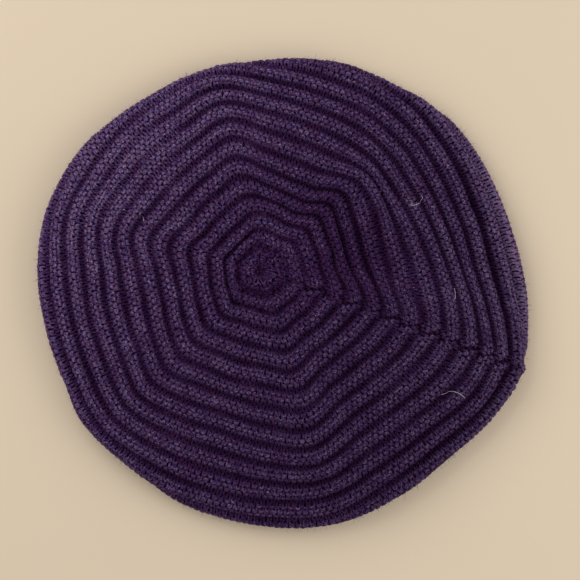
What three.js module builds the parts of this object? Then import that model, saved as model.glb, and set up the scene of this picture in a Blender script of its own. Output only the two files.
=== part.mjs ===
// A knitted wool beret lying flat with its crown up. The crown is one piece of knitting in raised welts
// that run round six corners. It folds under at the rim and ends at the head opening, where a ribbed
// headband carries on. Millimetres, +Z up, resting on Z = 0, with the middle of the outline at X = Y = 0.
import * as THREE from "three";

// The knitting.
const WALL = 2.2; // thickness at the bottom of a groove
const WELT_HEIGHT = 2.2; // how far a welt stands above the grooves beside it
const WELT_COUNT = 16.75; // grooves passed on the way from the crown's centre to the head opening
const WELT_SHOULDERS = [0.3, 0.7]; // where a welt's flat top starts and ends, as shares of one welt
const LAST_TABLED_GROOVE = 12; // the grooves past this one are evenly spaced
const INNER_SHARES = [0.43, 0.7]; // of the way to the 3rd groove, where the 1st and 2nd are
const OUTER_PITCH = 10.8; // from groove to groove past the tabled ones

// The lie of the hat.
const CROWN_CENTRE = new THREE.Vector2(-9.4, 12.9); // the crown lies a little towards the upper left
const RIM_FOLD_RADIUS = 7; // of the fold at the rim, measured at the bottom of the grooves
const RIM_FOLD_HEIGHT = RIM_FOLD_RADIUS + WELT_HEIGHT; // of the fold's centre above the table
const OPENING_CENTRE = new THREE.Vector2(12.2, -12.6); // the underside lies the other way
const OPENING_RADIUS = 99; // where the crown's knitting ends and the headband starts

// The headband.
const BAND_GAP = 0.6; // between the crown's edge and the headband
const BAND_DEPTH = 24; // from the crown's edge to the cast-on edge
const BAND_THICKNESS = 3.4; // at a rib
const RIB_RELIEF = 0.8; // from the top of a rib to the furrow beside it
const RIB_COUNT = 60;
const RIB_STEPS = 2; // points round one rib and its furrow, half of them up on the rib
const BAND_EDGE_ROUNDING = 1; // of the cast-on edge

// How finely the crown is cut into faces.
const SIDES = 6;
const STEPS_PER_SIDE = 10;

const WOOL_COLOUR = 0x4a3358;
const WOOL_ROUGHNESS = 0.95;

// Sections through the crown, from its centre outwards. bearing is in degrees from +X, anticlockwise. The
// other columns are distances along the top of the knitting: to its 3rd, 6th, 9th and 12th groove, and
// to the outermost edge of the hat. The first row is the corner with the back seam.
const SECTIONS = [
  { bearing: -21, groove3: 36.5, groove6: 70.5, groove9: 106, groove12: 138, rim: 158 },
  { bearing: -15, groove3: 35.5, groove6: 68, groove9: 103.5, groove12: 132, rim: 154 },
  { bearing: 0, groove3: 31.5, groove6: 58, groove9: 94.5, groove12: 119, rim: 146 },
  { bearing: 15, groove3: 31, groove6: 55.5, groove9: 88.5, groove12: 114, rim: 140 },
  { bearing: 30, groove3: 31, groove6: 57, groove9: 86, groove12: 113, rim: 137 },
  { bearing: 45, groove3: 32.5, groove6: 61, groove9: 87, groove12: 114.5, rim: 134 },
  { bearing: 60, groove3: 29, groove6: 53.5, groove9: 86, groove12: 115, rim: 127.5 },
  { bearing: 75, groove3: 29.5, groove6: 53.5, groove9: 86, groove12: 114.5, rim: 123.5 },
  { bearing: 90, groove3: 32, groove6: 57, groove9: 90, groove12: 117.5, rim: 119.5 },
  { bearing: 105, groove3: 32.5, groove6: 66, groove9: 98, groove12: 125, rim: 119.5 },
  { bearing: 120, groove3: 30, groove6: 62.5, groove9: 93.5, groove12: 124.5, rim: 119 },
  { bearing: 135, groove3: 29.5, groove6: 61.5, groove9: 93, groove12: 125, rim: 122 },
  { bearing: 150, groove3: 30, groove6: 62.5, groove9: 94.5, groove12: 125, rim: 126 },
  { bearing: 165, groove3: 33, groove6: 67.5, groove9: 98, groove12: 126.5, rim: 129.5 },
  { bearing: 180, groove3: 31.5, groove6: 62, groove9: 93, groove12: 124.5, rim: 130 },
  { bearing: 195, groove3: 32, groove6: 60.5, groove9: 93, groove12: 123.5, rim: 129.5 },
  { bearing: 210, groove3: 33, groove6: 64, groove9: 95, groove12: 126.5, rim: 131.5 },
  { bearing: 218, groove3: 34.5, groove6: 66.5, groove9: 98.5, groove12: 129, rim: 135.5 },
  { bearing: 225, groove3: 36, groove6: 68.5, groove9: 101.5, groove12: 130.5, rim: 136 },
  { bearing: 240, groove3: 33, groove6: 65, groove9: 97, groove12: 129, rim: 137.5 },
  { bearing: 255, groove3: 32.5, groove6: 64.5, groove9: 95, groove12: 129, rim: 142 },
  { bearing: 270, groove3: 33.5, groove6: 66, groove9: 99, groove12: 131.5, rim: 145.5 },
  { bearing: 285, groove3: 36, groove6: 70.5, groove9: 104.5, groove12: 134, rim: 149.5 },
  { bearing: 300, groove3: 33, groove6: 64.5, groove9: 96.5, groove12: 129.5, rim: 150 },
  { bearing: 315, groove3: 33.5, groove6: 64, groove9: 97, groove12: 130, rim: 150 },
  { bearing: 330, groove3: 33.5, groove6: 67.5, groove9: 102, groove12: 137, rim: 155 },
];
const LAST_SECTION = { ...SECTIONS[0], bearing: SECTIONS[0].bearing + 360 };
const SECTIONS_ROUND = [...SECTIONS, LAST_SECTION];

// The six corners where the knitting's rounds turn, as bearings from the crown's centre.
const CORNER_BEARINGS = [-21, 43, 106, 166, 224, 282];

// The height of the top of the hat at the bottom of its grooves, by share of the way to the rim fold.
const TOP_PROFILE = [
  { share: 0, height: 16.5 },
  { share: 0.3, height: 18 },
  { share: 0.6, height: 20.2 },
  { share: 0.85, height: 18.6 },
  { share: 1, height: RIM_FOLD_HEIGHT + RIM_FOLD_RADIUS },
];

// Dents and folds of the top. Each is deepest at a bearing and a groove and fades out over a spread of
// bearings and of grooves. drop lowers the knitting there, and push moves it outwards.
const FOLDS = [
  { name: "crease", bearing: 12, spread: 24, groove: 5.9, grooves: 0.9, drop: 4.5, push: 0 },
  { name: "swell", bearing: 32, spread: 16, groove: 7.3, grooves: 0.9, drop: -1.4, push: 3.8 },
  { name: "upper right tuck", bearing: 38, spread: 14, groove: 9.2, grooves: 0.9, drop: 2, push: 0 },
  { name: "seam hollow", bearing: 336, spread: 12, groove: 6, grooves: 3, drop: 1.4, push: 0 },
  { name: "lower left hollow", bearing: 226, spread: 14, groove: 10.5, grooves: 2, drop: 1.2, push: 0 },
  { name: "crown hollow", bearing: 190, spread: 90, groove: 1.6, grooves: 1, drop: 0.8, push: 0 },
];

// A smooth curve through the table's points: xs rise, and at both ends the slope is that of the last gap.
function smoothBetween(xs, ys, x) {
  let i = 0;
  while (i < xs.length - 2 && x > xs[i + 1]) i += 1;
  const slopeAt = (k) => {
    const before = Math.max(k - 1, 0);
    const after = Math.min(k + 1, xs.length - 1);
    return (ys[after] - ys[before]) / (xs[after] - xs[before]);
  };
  const gap = xs[i + 1] - xs[i];
  const t = (x - xs[i]) / gap;
  const rise = ys[i + 1] - ys[i];
  const a = slopeAt(i) * gap - rise;
  const b = rise - slopeAt(i + 1) * gap;
  return ys[i] + t * rise + t * (1 - t) * (a * (1 - t) + b * t);
}

function tabled(column, bearing) {
  const bearings = SECTIONS_ROUND.map((row) => row.bearing);
  const values = SECTIONS_ROUND.map((row) => row[column]);
  return smoothBetween(bearings, values, bearing);
}

// The part of a fold's drop and push that reaches a place, from 0 to 1.
function foldShare(fold, bearing, groove) {
  const turn = THREE.MathUtils.euclideanModulo(bearing - fold.bearing + 180, 360) - 180;
  return Math.exp(-((turn / fold.spread) ** 2) - ((groove - fold.groove) / fold.grooves) ** 2);
}

function foldSum(column, bearing, groove) {
  return FOLDS.reduce((sum, fold) => sum + fold[column] * foldShare(fold, bearing, groove), 0);
}

// How far the head opening's edge is from the crown's centre, seen from above.
function openingDistance(bearing) {
  const angle = THREE.MathUtils.degToRad(bearing);
  const offset = OPENING_CENTRE.clone().sub(CROWN_CENTRE);
  const along = offset.x * Math.cos(angle) + offset.y * Math.sin(angle);
  return along + Math.sqrt(OPENING_RADIUS ** 2 - offset.lengthSq() + along ** 2);
}

// One section of the hat: what stays the same at a bearing, from the centre to the head opening.
function sectionAt(bearing) {
  const tabledGrooves = [0, 1, 2, 3, 6, 9, LAST_TABLED_GROOVE];
  const groove3 = tabled("groove3", bearing);
  const inner = INNER_SHARES.map((share) => share * groove3);
  const outer = [6, 9, LAST_TABLED_GROOVE].map((groove) => tabled("groove" + groove, bearing));
  const distances = [0, ...inner, groove3, ...outer];
  const flat = tabled("rim", bearing) - WELT_HEIGHT - RIM_FOLD_RADIUS;
  const foldEnd = flat + Math.PI * RIM_FOLD_RADIUS;
  const lastDistance = distances[distances.length - 1];
  const foldEndGroove = LAST_TABLED_GROOVE + (foldEnd - lastDistance) / OUTER_PITCH;
  return { bearing, tabledGrooves, distances, flat, foldEnd, lastDistance, foldEndGroove };
}

// The bottom of the knitting's grooves, as a distance from the crown's centre and a height. The path runs
// out along the top, round the rim fold and back in along the underside.
function pathPoint(section, groove) {
  if (groove > section.foldEndGroove) {
    const share = (groove - section.foldEndGroove) / (WELT_COUNT - section.foldEndGroove);
    const edge = openingDistance(section.bearing);
    return new THREE.Vector2(section.flat + share * (edge - section.flat), WELT_HEIGHT);
  }
  const beyond = (groove - LAST_TABLED_GROOVE) * OUTER_PITCH;
  const along =
    groove > LAST_TABLED_GROOVE
      ? section.lastDistance + beyond
      : smoothBetween(section.tabledGrooves, section.distances, groove) +
        foldSum("push", section.bearing, groove);
  if (along > section.flat) {
    const turn = (along - section.flat) / RIM_FOLD_RADIUS;
    const out = section.flat + RIM_FOLD_RADIUS * Math.sin(turn);
    return new THREE.Vector2(out, RIM_FOLD_HEIGHT + RIM_FOLD_RADIUS * Math.cos(turn));
  }
  const shares = TOP_PROFILE.map((row) => row.share);
  const heights = TOP_PROFILE.map((row) => row.height);
  const height = smoothBetween(shares, heights, along / section.flat);
  return new THREE.Vector2(along, height - foldSum("drop", section.bearing, groove));
}

// A point of the knitting, raised off the path by an amount measured squarely to it.
function knittingPoint(section, groove, raise) {
  const step = 0.02;
  const here = pathPoint(section, groove);
  const before = pathPoint(section, Math.max(groove - step, 0));
  const after = pathPoint(section, Math.min(groove + step, WELT_COUNT));
  const along = after.sub(before).normalize();
  const out = here.x - along.y * raise;
  const height = here.y + along.x * raise;
  const angle = THREE.MathUtils.degToRad(section.bearing);
  return new THREE.Vector3(
    CROWN_CENTRE.x + out * Math.cos(angle),
    CROWN_CENTRE.y + out * Math.sin(angle),
    Math.max(height, 0),
  );
}

// A closed surface through rings of equally many points. It ends in a point at each end, or with loop
// the last ring joins the first.
function loft(rings, { firstPoint, lastPoint, loop = false }) {
  const across = rings[0].length;
  const points = rings.flat();
  const faces = [];
  const joined = loop ? rings.length : rings.length - 1;
  for (let r = 0; r < joined; r += 1) {
    const low = r * across;
    const high = ((r + 1) % rings.length) * across;
    for (let i = 0; i < across; i += 1) {
      const next = (i + 1) % across;
      faces.push(low + i, high + i, high + next);
      faces.push(low + i, high + next, low + next);
    }
  }
  if (!loop) {
    const first = points.push(firstPoint) - 1;
    const last = points.push(lastPoint) - 1;
    const lastRing = (rings.length - 1) * across;
    for (let i = 0; i < across; i += 1) {
      const next = (i + 1) % across;
      faces.push(first, i, next);
      faces.push(last, lastRing + next, lastRing + i);
    }
  }
  const geometry = new THREE.BufferGeometry().setFromPoints(points);
  geometry.setIndex(faces);
  geometry.computeVertexNormals();
  return geometry;
}

function crownSections() {
  const bearings = [];
  for (let side = 0; side < SIDES; side += 1) {
    const start = CORNER_BEARINGS[side];
    const end = side + 1 < SIDES ? CORNER_BEARINGS[side + 1] : CORNER_BEARINGS[0] + 360;
    for (let step = 0; step < STEPS_PER_SIDE; step += 1) {
      bearings.push(start + ((end - start) * step) / STEPS_PER_SIDE);
    }
  }
  return bearings.map(sectionAt);
}

// The whole crown: the welted outside from the centre to the head opening, then the plain inside back.
function crownGeometry() {
  const sections = crownSections();
  const outside = [];
  for (let welt = 0; welt < WELT_COUNT; welt += 1) {
    const places = [
      { groove: welt, raise: 0 },
      ...WELT_SHOULDERS.map((share) => ({ groove: welt + share, raise: WELT_HEIGHT })),
    ];
    outside.push(...places.filter(({ groove }) => groove > WELT_SHOULDERS[0] && groove < WELT_COUNT));
  }
  outside.push({ groove: WELT_COUNT, raise: WELT_HEIGHT });
  const inside = [{ groove: WELT_COUNT, raise: -WALL }];
  for (let groove = Math.floor(WELT_COUNT); groove > 0; groove -= 1) {
    inside.push({ groove, raise: -WALL });
  }
  const rings = [...outside, ...inside].map(({ groove, raise }) =>
    sections.map((section) => knittingPoint(section, groove, raise)),
  );
  const topHeight = TOP_PROFILE[0].height;
  const firstPoint = new THREE.Vector3(CROWN_CENTRE.x, CROWN_CENTRE.y, topHeight + WELT_HEIGHT);
  const lastPoint = new THREE.Vector3(CROWN_CENTRE.x, CROWN_CENTRE.y, topHeight - WALL);
  return loft(rings, { firstPoint, lastPoint });
}

// The headband lies flat inside the crown's edge, with its ribs pointing at the head opening's centre.
function headbandGeometry() {
  const outer = OPENING_RADIUS - BAND_GAP;
  const inner = OPENING_RADIUS - BAND_DEPTH;
  const corners = [
    { radius: outer, height: 0, ribbed: false },
    { radius: outer, height: BAND_THICKNESS, ribbed: true },
    { radius: inner + BAND_EDGE_ROUNDING, height: BAND_THICKNESS, ribbed: true },
    { radius: inner, height: BAND_THICKNESS / 2, ribbed: false },
    { radius: inner + BAND_EDGE_ROUNDING, height: 0, ribbed: false },
  ];
  const steps = RIB_COUNT * RIB_STEPS;
  const rings = corners.map(({ radius, height, ribbed }) =>
    Array.from({ length: steps }, (_, step) => {
      const angle = (step / steps) * 2 * Math.PI;
      const furrow = ribbed && step % RIB_STEPS < RIB_STEPS / 2 ? RIB_RELIEF : 0;
      return new THREE.Vector3(
        OPENING_CENTRE.x + radius * Math.cos(angle),
        OPENING_CENTRE.y + radius * Math.sin(angle),
        height - furrow,
      );
    }),
  );
  return loft(rings.reverse(), { loop: true });
}

function woolPiece(name, geometry) {
  const material = new THREE.MeshStandardMaterial({
    color: WOOL_COLOUR,
    roughness: WOOL_ROUGHNESS,
    metalness: 0,
  });
  const mesh = new THREE.Mesh(geometry, material);
  mesh.name = name;
  return mesh;
}

const beret = new THREE.Group();
beret.name = "beret";
beret.add(woolPiece("crown", crownGeometry()));
beret.add(woolPiece("headband", headbandGeometry()));

export default beret;
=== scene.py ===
# %% [markdown]
# # A knitted beret, stitch by stitch
#
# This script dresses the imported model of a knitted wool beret. The hat lies flat with its crown up. Its
# crown is knitted in rounds: raised welts of purl stitches, with a narrow groove of plain stitches between
# one welt and the next. The rounds turn at six corners, so the welts lie round the middle like the threads
# of a six-sided web.
#
# The frame comes first. It is the solid model, and every piece made here lies where its solids lie.

import math

import bpy
import numpy as np
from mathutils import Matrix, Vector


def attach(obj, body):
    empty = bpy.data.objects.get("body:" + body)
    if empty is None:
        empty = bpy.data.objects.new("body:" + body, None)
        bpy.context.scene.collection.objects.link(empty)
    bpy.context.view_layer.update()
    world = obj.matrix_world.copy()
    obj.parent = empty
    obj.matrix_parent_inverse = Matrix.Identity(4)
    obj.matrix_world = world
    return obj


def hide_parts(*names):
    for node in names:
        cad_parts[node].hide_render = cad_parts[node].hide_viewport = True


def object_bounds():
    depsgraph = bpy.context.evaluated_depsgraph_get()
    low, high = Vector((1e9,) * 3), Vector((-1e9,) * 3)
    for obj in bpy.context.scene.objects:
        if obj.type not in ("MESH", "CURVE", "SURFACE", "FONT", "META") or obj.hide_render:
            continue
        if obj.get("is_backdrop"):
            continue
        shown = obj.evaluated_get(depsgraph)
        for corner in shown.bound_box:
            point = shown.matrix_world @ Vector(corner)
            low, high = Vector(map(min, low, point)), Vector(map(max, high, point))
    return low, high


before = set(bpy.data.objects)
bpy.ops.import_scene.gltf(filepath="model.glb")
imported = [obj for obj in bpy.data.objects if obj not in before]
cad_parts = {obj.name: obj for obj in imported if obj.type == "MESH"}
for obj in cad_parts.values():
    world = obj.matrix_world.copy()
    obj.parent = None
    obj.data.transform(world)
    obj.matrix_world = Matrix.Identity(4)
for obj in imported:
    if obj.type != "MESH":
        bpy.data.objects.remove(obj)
cad_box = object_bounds()
print("frame nodes:", sorted(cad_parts))

# %% [markdown]
# ## The shape of the cloth
#
# Knitting follows one rule all over the hat, so its shape is worked out by a function and not pushed into
# place by hand. The function's sizes are in millimetres, as a knitter would measure them. The table gives
# the distance from the crown's centre to four of the grooves and to the rim, for sections at several
# bearings (degrees from +X, anticlockwise). They are the solid crown's sizes too. The table's last row is
# its first again, a full turn on.

# %% The hat's own sizes
MM = 0.001
WELT_HEIGHT = 2.2
WELT_COUNT = 16.75
OUTER_PITCH = 10.8
LAST_TABLED_GROOVE = 12
CROWN_CENTRE = np.array([-9.4, 12.9])
RIM_FOLD_RADIUS = 7.0
RIM_FOLD_HEIGHT = RIM_FOLD_RADIUS + WELT_HEIGHT
OPENING_CENTRE = np.array([12.2, -12.6])
OPENING_RADIUS = 99.0
CORNER_BEARINGS = np.array([-21.0, 43, 106, 166, 224, 282])

# The photograph is square. Its width is given in pixels and, at the height of the rim, in millimetres. The
# view centre is the place in its middle.
PICTURE_PIXELS = 580
PICTURE_WIDTH = 330.6
VIEW_CENTRE = np.array([4.3, 1.7])

SECTION_COLUMNS = ("bearing", "groove3", "groove6", "groove9", "groove12", "rim")
SECTION_ROWS = [
    (-21, 36.5, 70.5, 106, 138, 158),
    (-15, 35.5, 68, 103.5, 132, 154),
    (0, 31.5, 58, 94.5, 119, 146),
    (15, 31, 55.5, 88.5, 114, 140),
    (30, 31, 57, 86, 113, 137),
    (45, 32.5, 61, 87, 114.5, 134),
    (60, 29, 53.5, 86, 115, 127.5),
    (75, 29.5, 53.5, 86, 114.5, 123.5),
    (90, 32, 57, 90, 117.5, 119.5),
    (105, 32.5, 66, 98, 125, 119.5),
    (120, 30, 62.5, 93.5, 124.5, 119),
    (135, 29.5, 61.5, 93, 125, 122),
    (150, 30, 62.5, 94.5, 125, 126),
    (165, 33, 67.5, 98, 126.5, 129.5),
    (180, 31.5, 62, 93, 124.5, 130),
    (195, 32, 60.5, 93, 123.5, 129.5),
    (210, 33, 64, 95, 126.5, 131.5),
    (218, 34.5, 66.5, 98.5, 129, 135.5),
    (225, 36, 68.5, 101.5, 130.5, 136),
    (240, 33, 65, 97, 129, 137.5),
    (255, 32.5, 64.5, 95, 129, 142),
    (270, 33.5, 66, 99, 131.5, 145.5),
    (285, 36, 70.5, 104.5, 134, 149.5),
    (300, 33, 64.5, 96.5, 129.5, 150),
    (315, 33.5, 64, 97, 130, 150),
    (330, 33.5, 67.5, 102, 137, 155),
    (339, 36.5, 70.5, 106, 138, 158),
]
SECTIONS = dict(zip(SECTION_COLUMNS, np.array(SECTION_ROWS, float).T))
INNER_SHARES = (0.43, 0.7)
TABLED_GROOVES = (0, 1, 2, 3, 6, 9, LAST_TABLED_GROOVE)
TOP_SHARES = (0, 0.3, 0.6, 0.85, 1)
TOP_HEIGHTS = (16.5, 18, 20.2, 18.6, RIM_FOLD_HEIGHT + RIM_FOLD_RADIUS)

# Dents and folds: bearing, spread of bearings, groove, spread of grooves, drop, push outwards.
# The solid crown has all but the last two, which shift the welts a little beside the seam.
FOLDS = {
    "crease": (12, 24, 5.9, 0.9, 4.5, 0),
    "swell": (32, 16, 7.3, 0.9, -1.4, 3.8),
    "upper right tuck": (38, 14, 9.2, 0.9, 2, 0),
    "seam hollow": (336, 12, 6, 3, 1.4, 0),
    "lower left hollow": (226, 14, 10.5, 2, 1.2, 0),
    "crown hollow": (190, 90, 1.6, 1, 0.8, 0),
    "welts pulled in above the seam": (350, 9, 7.4, 0.9, 0, -3.2),
    "welts let out at the seam": (338, 14, 11, 1.3, 0, 2.2),
}

# The back seam: how far it steps the courses (mm), over how many degrees, and in which grooves.
SEAM_BEARING = -21
SEAM_JOG = 1.3
SEAM_TURN = 0.8
SEAM_REACH = 9
JOG_GROWN_AT = 4
JOG_FADES_FROM = 11
JOG_GONE_AT = 13
print("sections:", len(SECTION_ROWS), "folds:", len(FOLDS))


# %% [markdown]
# A section is drawn through its few tabled points by one smooth curve. The path it makes runs out along the
# top of the hat, round the fold at the rim and back in along the underside to the head opening. A place is
# given by its bearing and by its groove number, counted from the middle. Arrays of both go in, so that a
# whole round of stitches is placed in one call.


# %% The path of the cloth
def smooth_between(xs, ys, x):
    """A smooth curve through a table. ys may hold a row of values for each place in x."""
    xs, ys, x = np.asarray(xs, float), np.asarray(ys, float), np.asarray(x, float)
    last = len(xs) - 1
    order = np.arange(last + 1)
    before, after = np.maximum(order - 1, 0), np.minimum(order + 1, last)
    slopes = (ys[..., after] - ys[..., before]) / (xs[after] - xs[before])
    start = np.clip(np.searchsorted(xs, x) - 1, 0, last - 1)

    def at(values, place):
        if values.ndim == 1:
            return values[place]
        return np.take_along_axis(values, place[..., None], -1)[..., 0]

    gap = xs[start + 1] - xs[start]
    share = (x - xs[start]) / gap
    rise = at(ys, start + 1) - at(ys, start)
    entry = at(slopes, start) * gap - rise
    leave = rise - at(slopes, start + 1) * gap
    bend = share * (1 - share) * (entry * (1 - share) + leave * share)
    return at(ys, start) + share * rise + bend


def tabled(column, bearing):
    first = SECTIONS["bearing"][0]
    return smooth_between(SECTIONS["bearing"], SECTIONS[column], (bearing - first) % 360 + first)


def fold_sums(bearing, groove):
    """How far the folds lower the cloth at a place, and how far they push it outwards."""
    drop, push = 0, 0
    for middle, spread, at_groove, grooves, fold_drop, fold_push in FOLDS.values():
        share = np.exp(-((turn_from(bearing, middle) / spread) ** 2) - ((groove - at_groove) / grooves) ** 2)
        drop = drop + fold_drop * share
        push = push + fold_push * share
    return drop, push


def turn_from(bearing, middle):
    """Degrees anticlockwise from one bearing to another, between -180 and 180."""
    return (bearing - middle + 180) % 360 - 180


def seam_jog(bearing, groove):
    """The courses on one side of the back seam are sewn a little further out than on the other."""
    turn = turn_from(bearing, SEAM_BEARING)
    fading = np.clip((JOG_GONE_AT - groove) / (JOG_GONE_AT - JOG_FADES_FROM), 0, 1)
    share = np.clip(groove / JOG_GROWN_AT, 0, 1) * fading
    return SEAM_JOG * share * np.tanh(turn / SEAM_TURN) * np.exp(-np.abs(turn) / SEAM_REACH)


def path(bearing, groove):
    """Distance from the crown's centre, and height, at the bottom of the grooves.

    It is the solid crown's own path, but for the seam's step and the last two folds.
    """
    groove3 = tabled("groove3", bearing)
    inner = [share * groove3 for share in INNER_SHARES]
    outer = [tabled(f"groove{number}", bearing) for number in TABLED_GROOVES[4:]]
    distances = np.stack([0 * groove3, *inner, groove3, *outer], -1)
    flat = tabled("rim", bearing) - WELT_HEIGHT - RIM_FOLD_RADIUS
    fold_end = flat + math.pi * RIM_FOLD_RADIUS
    fold_end_groove = LAST_TABLED_GROOVE + (fold_end - distances[..., -1]) / OUTER_PITCH
    drop, push = fold_sums(bearing, groove)
    inside_table = smooth_between(TABLED_GROOVES, distances, groove)
    past_table = distances[..., -1] + (groove - LAST_TABLED_GROOVE) * OUTER_PITCH
    along = np.where(groove > LAST_TABLED_GROOVE, past_table, inside_table)
    along = along + push + seam_jog(bearing, groove)
    turn = np.clip((along - flat) / RIM_FOLD_RADIUS, 0, math.pi)
    top = smooth_between(TOP_SHARES, TOP_HEIGHTS, np.clip(along / flat, 0, 1)) - drop
    out = np.where(turn > 0, flat + RIM_FOLD_RADIUS * np.sin(turn), along)
    height = np.where(turn > 0, RIM_FOLD_HEIGHT + RIM_FOLD_RADIUS * np.cos(turn), top)
    offset = OPENING_CENTRE - CROWN_CENTRE
    angle = np.radians(bearing)
    towards = offset[0] * np.cos(angle) + offset[1] * np.sin(angle)
    edge = towards + np.sqrt(OPENING_RADIUS**2 - offset @ offset + towards**2)
    share = (groove - fold_end_groove) / (WELT_COUNT - fold_end_groove)
    under = groove > fold_end_groove
    out = np.where(under, flat + share * (edge - flat), out)
    height = np.where(under, WELT_HEIGHT, height)
    return np.stack([out, height], -1)


rim_point = path(np.array([180.0]), np.array([12.5]))[0]
print("left side, groove 12.5: out", rim_point[0].round(1), "mm, height", rim_point[1].round(1), "mm")

# %% [markdown]
# ## Welts and grooves
#
# A welt has five courses, which are rounds of stitches. Purl ridges curl outwards and plain stitches sink
# in, so across a welt the cloth rises and falls like half a wave, steep in the groove and round on top. Here
# a place on the cloth is given by its bearing and its course number, and the function answers with a point
# in space. Numbers between whole courses are places between them.
#
# A hand-knitted hat is never even, so short tables say where it is stretched or bunched, and where its wool
# is painted darker or lighter: painted shade and painted light. Their places have soft edges, and each fades
# out over the spreads that its row gives.

# %% Where the cloth is uneven
COURSES_PER_WELT = 5
LAST_COURSE = 83
GROOVE_ROUNDNESS = 0.36
CREST = 1.2
RELIEF = 4.8

# Where the cloth is stretched flatter or bunched deeper: bearing, spread, groove, spread, change of share.
STRETCH = {
    "upper left": (140, 32, 9.5, 3.4, -0.5),
    "above the seam": (354, 9, 8, 3, -0.4),
    "middle of the crown": (25, 80, 1.2, 1.4, -0.6),
    "right of the middle": (35, 42, 5, 1.6, 0.45),
    "inside the right rim": (3, 38, 13, 0.6, 0.6),
}
SEAM_FLATNESS = 0.6
SEAM_FLAT_WIDTH = 4.0

# The fold at the rim stretches the cloth flat and rounds it outwards: a share, mm, and courses.
RIM_FLATNESS = 0.6
RIM_LET_OUT = 1.1
RIM_REACH = 2.8

# Where the rim bulges more, or less, than that: bearing, spread, and mm.
RIM_BULGES = {
    "above the seam corner": (352, 10, 0.4),
    "just above the seam corner": (343.5, 3, 0.9),
    "seam corner": (340, 2.5, -0.9),
    "just below the seam corner": (335, 3, 1.2),
    "below the seam corner": (326, 10, 1.0),
    "lower right": (302, 9, 1.2),
    "lower left": (246, 8, 1.7),
    "dip at the lower left": (233, 6, -0.8),
    "dip at the left": (168, 9, -0.6),
    "upper left": (143, 11, 1.6),
    "dip at the upper left": (124, 6, -0.5),
    "dip at the top": (108, 5, -0.6),
    "top": (96, 4.5, 1.3),
    "upper right": (69, 9, 2.0),
    "dip at the upper right": (53, 6, -1.2),
    "beside that dip": (38, 7, 0.9),
}

# Painted shade and painted light: where the wool is painted darker (in hollows and the middle) or lighter
# (on the sides and the right rim, towards the lamps). The same columns, and the change of shading.
PAINTED_LIGHT_AND_SHADE = {
    "hollow right of the middle": (2, 24, 4.8, 2.4, -0.26),
    "hollow above it": (50, 38, 4.6, 1.4, -0.24),
    "middle of the crown": (0, 400, 0, 2.4, -0.22),
    "left side": (150, 65, 10.5, 4.5, 0.2),
    "lower right side": (345, 28, 10.5, 2.5, 0.14),
    "right side": (8, 45, 12.8, 0.7, 0.2),
    "right rim": (5, 48, 14.2, 0.6, 0.8),
}

# How far hand-knitted welts wander from an even shape: a share of their relief, and mm.
WANDERING_WAVES = 12
UNEVEN_RELIEF = 0.22
UNEVEN_HEIGHT = 0.5
UNEVEN_LINE = 0.02
WANDERING_GROWN_AT = 2

# The gathered middle of the crown lies a little to the left of the rounds about it (mm, grooves).
MIDDLE_SHIFT = 3.6
MIDDLE_GROOVES = 1.7

# The line of the seam: how deep and wide its dent is, how high, far off and wide the puffs beside it are,
# and how far it steps to and fro (all in mm).
SEAM_DEPTH = 3.4
SEAM_WIDTH = 1.15
SEAM_PUFF = 0.4
PUFF_AWAY = 3
PUFF_WIDTH = 1.5
SEAM_STEP = 2.0

# Where in a welt the seam steps, as shares of it, and the grooves between which its dent sets in.
STEP_SHARES = (0, 0.15, 0.85, 1)
DENT_STARTS = 0.8
DENT_GROWS_OVER = 1.5
print("bulges:", len(RIM_BULGES), "stretched places:", len(STRETCH), "painted light and shade places:", len(PAINTED_LIGHT_AND_SHADE))

# %% [markdown]
# The back seam pulls the cloth down along a line. Gentle waves of chance change the depth, height and line
# of the welts. They are sums of sine waves of random direction, from fixed seeds, so that the hat comes out
# the same each time.


# %% The seam and the waves of chance
def seam_dent(bearing, groove, out):
    """The seam draws the cloth down along a line that steps across each welt, and puffs it up beside."""
    phase = groove - np.floor(groove)
    step = np.interp(phase, STEP_SHARES, [0, -SEAM_STEP, SEAM_STEP, 0])
    away = np.radians(turn_from(bearing, SEAM_BEARING)) * out - step
    dent = SEAM_DEPTH * np.exp(-((away / SEAM_WIDTH) ** 2))
    puff = SEAM_PUFF * np.exp(-(((np.abs(away) - PUFF_AWAY) / PUFF_WIDTH) ** 2))
    grown = np.clip((groove - DENT_STARTS) / DENT_GROWS_OVER, 0, 1)
    share = grown * (1 - rim_nearness(bearing, groove * COURSES_PER_WELT))
    return (puff - dent) * share


def wandering(seed, turns, ripples):
    """A gentle unevenness over the cloth, between about -1 and 1: a sum of waves of random direction."""
    chance = np.random.default_rng(seed)
    around = chance.integers(turns[0], turns[1] + 1, WANDERING_WAVES)
    around = around * chance.choice([-1, 1], WANDERING_WAVES)
    across = chance.uniform(ripples[0], ripples[1], WANDERING_WAVES)
    start = chance.uniform(0, 2 * math.pi, WANDERING_WAVES)

    def at(bearing, groove):
        waves = [np.sin(np.radians(a * bearing) + c * groove + s) for a, c, s in zip(around, across, start)]
        return sum(waves) * math.sqrt(2 / WANDERING_WAVES) / 2

    return at


relief_wandering = wandering(3, (4, 19), (0.4, 2.4))
height_wandering = wandering(5, (3, 11), (0.3, 1.5))
line_wandering = wandering(8, (6, 23), (0.5, 2.5))
print("wandering at one place:", round(float(relief_wandering(90, 5)), 2))

# %% [markdown]
# The fold at the rim stretches the cloth flat and lets it bulge. How deep the grooves are at a place is then
# a share of their full relief, less what the seam and the rim flatten.


# %% The rim and the relief
def rim_course(bearing, turn):
    """The course that lies a given turn (in radians) round the fold at the rim."""
    flat = tabled("rim", bearing) - WELT_HEIGHT - RIM_FOLD_RADIUS
    past = flat + turn * RIM_FOLD_RADIUS - tabled("groove12", bearing)
    return COURSES_PER_WELT * (LAST_TABLED_GROOVE + past / OUTER_PITCH)


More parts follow.
